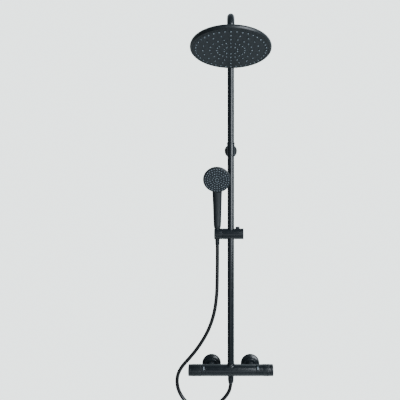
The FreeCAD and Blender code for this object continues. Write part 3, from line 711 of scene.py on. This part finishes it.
# Each ring of nozzles: its radius in mm and its count.
OVERHEAD_RINGS = ((22.6, 10), (45.3, 20), (67.9, 20), (90.5, 20), (113.2, 40))
HAND_RINGS = ((6.6, 6), (15.8, 12), (25.5, 18), (34.7, 24), (43.3, 28))


def scatter(name, corners, rings, place, segments):
    """Copies of a small turned shape on concentric rings, each with one at the top."""
    small, small_faces = turned_arrays(rounded(corners, 2), segments)
    vertices, faces = [], []
    for ring_radius, count in rings:
        for k in range(count):
            angle = math.pi / 2 + 2 * math.pi * k / count
            spot = Vector((ring_radius * math.cos(angle), ring_radius * math.sin(angle), 0)) * MM
            start = len(vertices)
            vertices += [place @ (Vector(v) + spot) for v in small]
            faces += [[start + i for i in face] for face in small_faces]
    return add_mesh(name, vertices, faces, 50)


def make_overhead():
    """The overhead shower's shell, face, nozzles, hub and ball nut."""
    shell = lathe("overhead_shell", [
        (5, -25, 0), (26, -25, 1), (34, -25.6, 6), (113.5, -26.4, 40), (123.5, -27.2, 8),
        (129.5, -30.6, 5), (131.5, -36, 6), (130.9, -41.5, 4), (127.9, -44.6, 2.4),
        (123.9, -45, 0.6), (122.6, -44.6, 0.2), (122.3, -41, 0), (119.5, -39, 0),
        (119.5, -28, 0), (5, -28, 0)], HEAD, 256, 6, 40)
    finish_piece(shell, "overhead", "black_plastic", "head_shell")
    face = lathe("overhead_face", [
        (0, -41.8, 0), (120.8, -41.8, 0.2), (122, -42.4, 0.3), (122, -44.6, 0.5),
        (119.7, -45, 0.6), (118.7, -44.7, 0.3), (0, -44.7, 0)], HEAD, 256, 4, 40)
    finish_piece(face, "overhead", "face_plastic", "head_face_plate")
    collars = scatter("overhead_nozzle_rings", [
        (2.5, -44.5, 0), (3.6, -44.5, 0.1), (3.6, -44.9, 0.25), (3, -45.15, 0.2),
        (2.5, -44.9, 0)], OVERHEAD_RINGS, HEAD, 20)
    finish_piece(collars, "overhead", "face_plastic")
    nubs = scatter("overhead_nubs", [
        (0, -41.8, 0), (2.4, -41.8, 0), (2.4, -45.2, 0.3), (1.75, -46.9, 0.35), (0.8, -47, 0.15),
        (0.7, -46, 0), (0, -46, 0)], OVERHEAD_RINGS, HEAD, 20)
    finish_piece(nubs, "overhead", "nozzle_silicone", "head_nozzles")
    hub = lathe("overhead_hub", [
        (5, -25.5, 0), (24, -25.5, 0), (24, -23, 1), (21.8, -21, 1.5), (21.5, -14.4, 0.5),
        (15, -14.3, 0), (15, -2, 0), (13.6, -2, 0), (5, -13, 0)], HEAD, 96)
    finish_piece(hub, "overhead", "black_metal", "head_hub")
    nut = lathe("overhead_ball_nut", [
        (15.1, -13.9, 0), (20, -13.9, 0.5), (20, -12.6, 0.2), (19.5, -12.2, 0.1),
        (19.5, -11.6, 0.1), (20, -11.2, 0.2), (20, 1.5, 1.5), (18.4, 5, 2), (15.2, 8.3, 1.2),
        (10.8, 8.3, 0.3), (9.1, 6.2, 0.1), (11, 1.6, 0), (11, -1.4, 0), (15.1, -1.4, 0)],
        HEAD, 96)
    finish_piece(nut, "overhead", "black_metal", "head_ball_nut")


# ---------------------------------------------------------------- slider and holder


def boolean_cut(thing, tool):
    """Takes one mesh away from another."""
    modifier = thing.modifiers.new("cut", "BOOLEAN")
    modifier.object = tool
    modifier.operation = "DIFFERENCE"
    modifier.solver = "EXACT"
    bpy.context.view_layer.update()
    result = bpy.data.meshes.new_from_object(thing.evaluated_get(
        bpy.context.evaluated_depsgraph_get()))
    thing.modifiers.clear()
    thing.data = result
    bpy.data.objects.remove(tool)
    result.polygons.foreach_set("use_smooth", [True] * len(result.polygons))
    result.set_sharp_from_angle(angle=math.radians(35))


def make_slider():
    """The slider's body with its bore, the lock button and the tilting holder."""
    place = frame_along((1, 0, 0), (0, AXIS.y, SLIDER), (0, 1, 0))
    radius = SLIDER_RADIUS / MM
    body = lathe("slider_shell", [
        (0, -31, 0), (radius, -31, 0.5), (radius, 46.3, 0.2), (radius - 0.3, 46.6, 0.1),
        (radius, 46.9, 0.1), (radius, 47.7, 1.2), (0, 47.7, 0)], place, 160)
    bore = lathe("bore", [(0, -30, 0), (14, -30, 0), (14, 30, 0), (0, 30, 0)],
                 Matrix.Translation(Vector((0, AXIS.y, SLIDER))), 96)
    low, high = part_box("lock_button")
    gap = 0.3 * MM
    travel = joints["lock_press"]["range_m"][1]
    pocket_low = Vector(low) - Vector((gap, gap, gap + travel))
    pocket_high = Vector(high) + Vector((gap, gap, gap))
    bpy.ops.mesh.primitive_cube_add(size=1, location=(pocket_low + pocket_high) / 2)
    pocket = bpy.context.object
    pocket.scale = pocket_high - pocket_low
    bpy.context.view_layer.update()
    boolean_cut(body, bore)
    boolean_cut(body, pocket)
    finish_piece(body, "slider", "black_metal", "slider_body")
    make_lock_button(low, high)
    make_lock_spring()
    holder = lathe("holder_shell", [
        (0, -62.4, 0), (radius, -62.4, 1.6), (radius, -31.4, 0.5), (0, -31.4, 0)], place, 160)
    taper = lathe("taper", [(0, -30, 0), (8.6, -30, 0), (9.9, 20, 0), (11.5, 30, 0), (0, 30, 0)],
                  SOCKET_FRAME, 96)
    boolean_cut(holder, taper)
    finish_piece(holder, "holder", "black_metal", "holder_socket")


def make_lock_button(low, high):
    """The lock button, crowned and with three grip lines."""
    columns, rows = 40, 30
    vertices = []
    centre = (Vector(low) + Vector(high)) / 2
    half = (Vector(high) - Vector(low)) / 2
    for row in range(rows + 1):
        for column in range(columns + 1):
            u, v = -1 + 2 * column / columns, -1 + 2 * row / rows
            edge = max(abs(u) ** 8, abs(v) ** 8)
            groove = 0.35 * MM * max(0.0, math.cos(u * 4 * math.pi)) ** 4 if abs(u) < 0.7 else 0
            groove *= max(0.0, 1 - abs(v) ** 6)
            z = high[2] - 0.4 * MM * (u * u) - 1.6 * MM * edge - groove
            vertices.append((centre.x + u * half.x, centre.y + v * half.y, z))
    faces = grid_faces(columns, rows)
    rim = list(range(columns + 1))
    rim += [(columns + 1) * row + columns for row in range(1, rows + 1)]
    rim += [(columns + 1) * rows + k for k in range(columns - 1, -1, -1)]
    rim += [(columns + 1) * row for row in range(rows - 1, 0, -1)]
    start = len(vertices)
    vertices += [(vertices[i][0], vertices[i][1], low[2]) for i in rim]
    for k, top in enumerate(rim):
        n = (k + 1) % len(rim)
        faces.append([top, start + k, start + n, rim[n]])
    faces.append([start + k for k in range(len(rim))][::-1])
    button = add_mesh("lock_button_cap", vertices, faces, 40)
    finish_piece(button, "slider_button", "black_metal", "lock_button")


def make_lock_spring():
    """The coil spring under the lock button: it shortens as the button goes down."""
    low, high = (Vector(corner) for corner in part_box("lock_spring"))
    centre = (low + high) / 2
    wire, turns, steps = 0.55 * MM, 4, 160
    radius = (high.x - low.x) / 2 - wire
    rise = high.z - low.z - 2 * wire
    path = []
    for k in range(steps + 1):
        angle = 2 * math.pi * turns * k / steps
        path.append((centre.x + radius * math.cos(angle), centre.y + radius * math.sin(angle),
                     low.z + wire + rise * k / steps))
    spring = sweep("lock_spring_coil", path, wire, 12)
    spring.data.materials.append(materials["steel"])
    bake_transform(spring, "slider", "slider_button", (centre.x, centre.y, low.z),
             (centre.x, centre.y, high.z))
    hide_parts("lock_spring")


# ---------------------------------------------------------------- hand shower


# The handle's sections: height above the socket, half width and half depth, in mm.
HANDLE_SECTIONS = ((20.4, 10.8, 10.5), (24.5, 12.8, 11.8), (32, 13.8, 12.4), (50, 14.8, 12.7),
                   (75, 15.5, 12.8), (104, 16.3, 12.9), (133, 17.3, 12.9), (158, 18.3, 12.5),
                   (180, 20.6, 9), (196, 25, 5))
HANDLE_CURVE = 0.000659
HANDLE_LEAN = math.radians(3)


def handle_rings(sections, segments):
    """Ellipses across the handle's curved middle line, as points ring by ring."""
    straight, curve = math.tan(HANDLE_LEAN), HANDLE_CURVE
    points = []
    for rise, wide, deep in sections:
        point = SOCKET + Vector((0, -straight * rise - curve * rise * rise, rise)) * MM
        slope = math.atan(straight + 2 * curve * rise)
        across = Vector((0, math.cos(slope), math.sin(slope)))
        for k in range(segments):
            turn = 2 * math.pi * k / segments
            spoke = Vector((wide, 0, 0)) * math.cos(turn) + across * deep * math.sin(turn)
            points.append(point + spoke * MM)
    return points


def smooth_sections(sections):
    """More sections between the given ones, on a smooth curve."""
    table = np.array(sections, float)
    finer, steps = [], 8
    for k in range(len(table) - 1):
        before, a = table[max(k - 1, 0)], table[k]
        b, after = table[k + 1], table[min(k + 2, len(table) - 1)]
        for step in range(steps):
            t = step / steps
            finer.append(0.5 * (2 * a + (b - before) * t + (2 * before - 5 * a + 4 * b - after)
                                * t * t + (3 * a - before - 3 * b + after) * t ** 3))
    return finer + [table[-1]]


def make_handset_shell():
    """Handle and head, melted into one skin by a voxel remesh and smoothed."""
    segments = 48
    vertices = handle_rings(smooth_sections(HANDLE_SECTIONS), segments)
    faces = end_faces(len(vertices), segments)
    faces += ring_faces(len(vertices) // segments, segments)
    handle = add_mesh("handle", vertices, faces)
    head = lathe("head", [
        (0, -25.6, 0), (20, -25.2, 14), (33.5, -23, 12), (42.8, -18.6, 10), (48.2, -13.4, 6),
        (50.7, -7.5, 6), (50.9, -3, 3), (49.7, -0.6, 1.2), (48, -0.2, 0.3), (0, -0.2, 0)],
        HAND, 128, 8)
    shell = join("handset_skin", [handle, head])
    remesh = shell.modifiers.new("melt", "REMESH")
    remesh.mode = "VOXEL"
    remesh.voxel_size = 0.0011
    smooth = shell.modifiers.new("smooth", "SMOOTH")
    smooth.factor = 0.5
    smooth.iterations = 12
    bpy.context.view_layer.update()
    skin = bpy.data.meshes.new_from_object(shell.evaluated_get(
        bpy.context.evaluated_depsgraph_get()))
    shell.modifiers.clear()
    shell.data = skin
    skin.polygons.foreach_set("use_smooth", [True] * len(skin.polygons))
    face_room = lathe("face_room", [(0, -3.4, 0), (47.8, -3.4, 0), (47.8, 8, 0), (0, 8, 0)], HAND,
                      160)
    boolean_cut(shell, face_room)
    finish_piece(shell, "handset", "black_plastic", "handset_shell")


def make_handset_face():
    """The hand shower's face plate and nozzles."""
    face = lathe("handset_face", [
        (0, -3.2, 0), (47.4, -3.2, 0.2), (47.6, -0.8, 0.5), (46.2, -0.1, 0.6), (44.8, -0.35, 0.4),
        (0, -0.35, 0)], HAND, 192, 4, 40)
    finish_piece(face, "handset", "face_plastic", "handset_face_plate")
    collars = scatter("handset_nozzle_rings", [
        (1.6, -0.3, 0), (2.3, -0.3, 0), (2.25, -0.1, 0.1), (1.9, 0.1, 0.15), (1.6, -0.1, 0)],
        HAND_RINGS, HAND, 16)
    finish_piece(collars, "handset", "face_plastic")
    nubs = scatter("handset_nubs", [
        (0, -3, 0), (1.55, -3, 0), (1.5, 0.1, 0.2), (1.15, 1.15, 0.25), (0.5, 1.2, 0.1),
        (0.45, 0.6, 0), (0, 0.6, 0)], HAND_RINGS, HAND, 16)
    finish_piece(nubs, "handset", "nozzle_silicone", "handset_nozzles")


def make_cone_nut():
    """The tapered swivel nut between hose and hand shower."""
    nut = lathe("hose_cone_nut_turned", [
        (4, -41.5, 0), (6.9, -41.5, 0), (6.9, -42, 0.2), (8, -42, 0.5), (9.52, 17, 0.3),
        (9.6, 18.6, 0.2), (9.6, 20, 0.3), (7.3, 20, 0), (7.3, 3, 0), (4, 3, 0)], SOCKET_FRAME, 96)
    return finish_piece(nut, "hose_end", "black_metal", "hose_cone_nut")


# ---------------------------------------------------------------- stage


# The floor fades out between the two radii. The background's brightness is one number for the
# camera and two for the light on the object: from the room in front and from the wall behind.
FLOOR_DROP = 0.75
FLOOR_SOLID_RADIUS = 0.3
FLOOR_RADIUS = 1.45
SEEN_WALL = 2.7
ROOM_LIGHT = 0.08
WALL_LIGHT = 0.62
LIGHT_COLOUR = (0.88, 0.94, 1.0)
LIGHT_AIM = Vector((0, -0.1, 0.6))


def floor_material():
    """A plain pale floor that fades out towards its rim."""
    material, tree, shader = node_tree("floor")
    tint(tree, noise(tree, 2), shader, (0.86, 0.89, 0.89), (0.88, 0.91, 0.91))
    shader.inputs["Roughness"].default_value = 0.85
    place = tree.nodes.new("ShaderNodeTexCoord")
    distance = tree.nodes.new("ShaderNodeVectorMath")
    distance.operation = "LENGTH"
    fade = tree.nodes.new("ShaderNodeMapRange")
    fade.interpolation_type = "SMOOTHSTEP"
    fade.inputs["From Min"].default_value = FLOOR_SOLID_RADIUS
    fade.inputs["From Max"].default_value = FLOOR_RADIUS
    fade.inputs["To Min"].default_value = 1.0
    fade.inputs["To Max"].default_value = 0.0
    tree.links.new(place.outputs["Object"], distance.inputs[0])
    tree.links.new(distance.outputs["Value"], fade.inputs["Value"])
    tree.links.new(fade.outputs["Result"], shader.inputs["Alpha"])
    return material


def add_background(tree, colour, strength):
    """One background shader of a colour and strength."""
    shader = tree.nodes.new("ShaderNodeBackground")
    shader.inputs["Color"].default_value = (*colour, 1)
    shader.inputs["Strength"].default_value = strength
    return shader


def make_surroundings():
    """A plain pale surrounding: a dim room in front and a bright wall's light from behind."""
    world = bpy.data.worlds.new("studio")
    bpy.context.scene.world = world
    world.use_nodes = True
    tree = world.node_tree
    ray = tree.nodes.new("ShaderNodeLightPath")
    mix = tree.nodes.new("ShaderNodeMixShader")
    ambient = add_background(tree, (0.78, 0.92, 1.0), ROOM_LIGHT)
    seen = add_background(tree, (0.92, 1.0, 0.99), SEEN_WALL)
    way = tree.nodes.new("ShaderNodeTexCoord")
    split = tree.nodes.new("ShaderNodeSeparateXYZ")
    spread = tree.nodes.new("ShaderNodeMapRange")
    spread.inputs["From Min"].default_value = 0.0
    spread.inputs["From Max"].default_value = 0.7
    spread.inputs["To Min"].default_value = ROOM_LIGHT
    spread.inputs["To Max"].default_value = WALL_LIGHT
    tree.links.new(way.outputs["Generated"], split.inputs["Vector"])
    tree.links.new(split.outputs["Y"], spread.inputs["Value"])
    tree.links.new(spread.outputs["Result"], ambient.inputs["Strength"])
    tree.links.new(ray.outputs["Is Camera Ray"], mix.inputs["Fac"])
    tree.links.new(ambient.outputs["Background"], mix.inputs[1])
    tree.links.new(seen.outputs["Background"], mix.inputs[2])
    tree.links.new(mix.outputs["Shader"], tree.nodes["World Output"].inputs["Surface"])


def add_light(name, azimuth, elevation, distance, size, power):
    """A rectangular light that looks at the column, from an azimuth to the right of its front."""
    data = bpy.data.lights.new(name, "AREA")
    data.shape = "RECTANGLE"
    data.size, data.size_y = size
    data.energy = power
    data.color = LIGHT_COLOUR
    turn, rise = math.radians(azimuth), math.radians(elevation)
    level = Vector((math.sin(turn), -math.cos(turn), 0))
    way = level * math.cos(rise) + Vector((0, 0, math.sin(rise)))
    lamp = bpy.data.objects.new(name, data)
    lamp.location = LIGHT_AIM + way * distance
    lamp.rotation_euler = (-way).to_track_quat("-Z", "Y").to_euler()
    bpy.context.scene.collection.objects.link(lamp)


def make_stage():
    """A pale floor, a pale surrounding and soft studio light."""
    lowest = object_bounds()[0][2]
    bpy.ops.mesh.primitive_circle_add(vertices=96, radius=FLOOR_RADIUS, fill_type="NGON",
                                      location=(0, -0.1, lowest - FLOOR_DROP))
    floor = bpy.context.object
    floor.name = "floor"
    floor.data.materials.append(floor_material())
    make_surroundings()
    add_light("key", 38, 18, 3.0, (1.9, 3.2), 190)
    add_light("front", -4, -18, 3.0, (2.2, 1.8), 10)
    add_light("back", 150, 35, 3.0, (1.6, 1.6), 15)


# ---------------------------------------------------------------- the whole


make_rosettes()
make_mixer_body()
temperature_collar = make_control("temperature", TO_RIGHT, 118.5, 108)
flow_collar = make_control("flow", TO_LEFT, 108.9, 108.6)
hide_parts("temperature_collar")
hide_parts("flow_collar")
make_button("safety_button_cap", "safety_button", "safety_stop_button")
make_button("eco_button_cap", "eco_button", "eco_stop_button")
lower_nut = make_lower_nut()
make_riser()
make_arm()
make_overhead()
make_slider()
make_handset_shell()
make_handset_face()
cone_nut = make_cone_nut()
make_stage()
